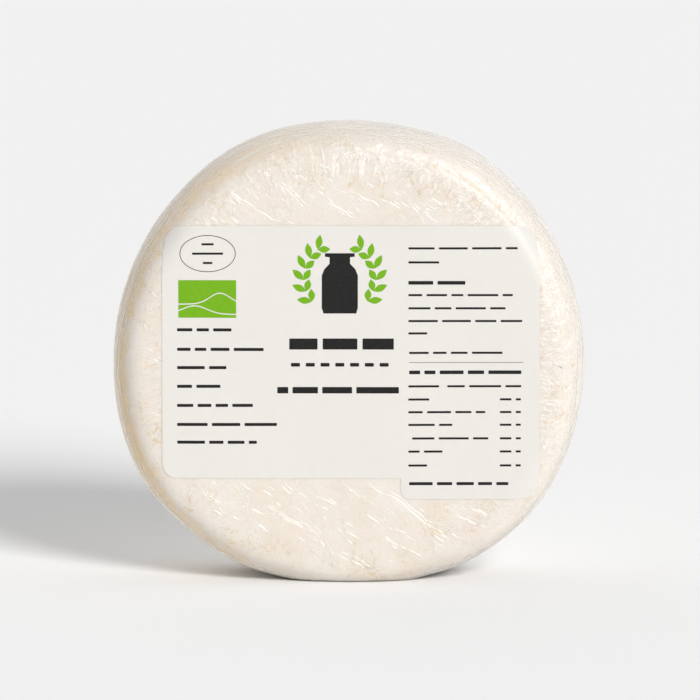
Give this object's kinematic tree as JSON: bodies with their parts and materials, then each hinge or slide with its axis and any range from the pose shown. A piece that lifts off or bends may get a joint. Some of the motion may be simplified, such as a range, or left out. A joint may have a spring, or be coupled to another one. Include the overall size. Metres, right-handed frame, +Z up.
{
  "type": "camembert cheese wheel",
  "caption": "Soft white-rind camembert wheel in tight clear film, standing on its rim, with a white printed paper label across its front face.",
  "frame": {"origin": "on the surface the wheel stands on, under the middle of the whole pack", "axes": "+Z up, the label faces -Y, the wheel's axle runs along Y, +X to the right of someone who faces the label"},
  "size_m": [0.1104, 0.0366, 0.1066],
  "materials": {
    "cheese_rind": "matte",
    "clear_film": "gloss",
    "label_paper": "satin",
    "label_ink": "matte",
    "label_green": "matte"
  },
  "bodies": {
    "root": {"wrapped_cheese": "cheese_rind", "label": "label_paper"}
  },
  "joints": []
}
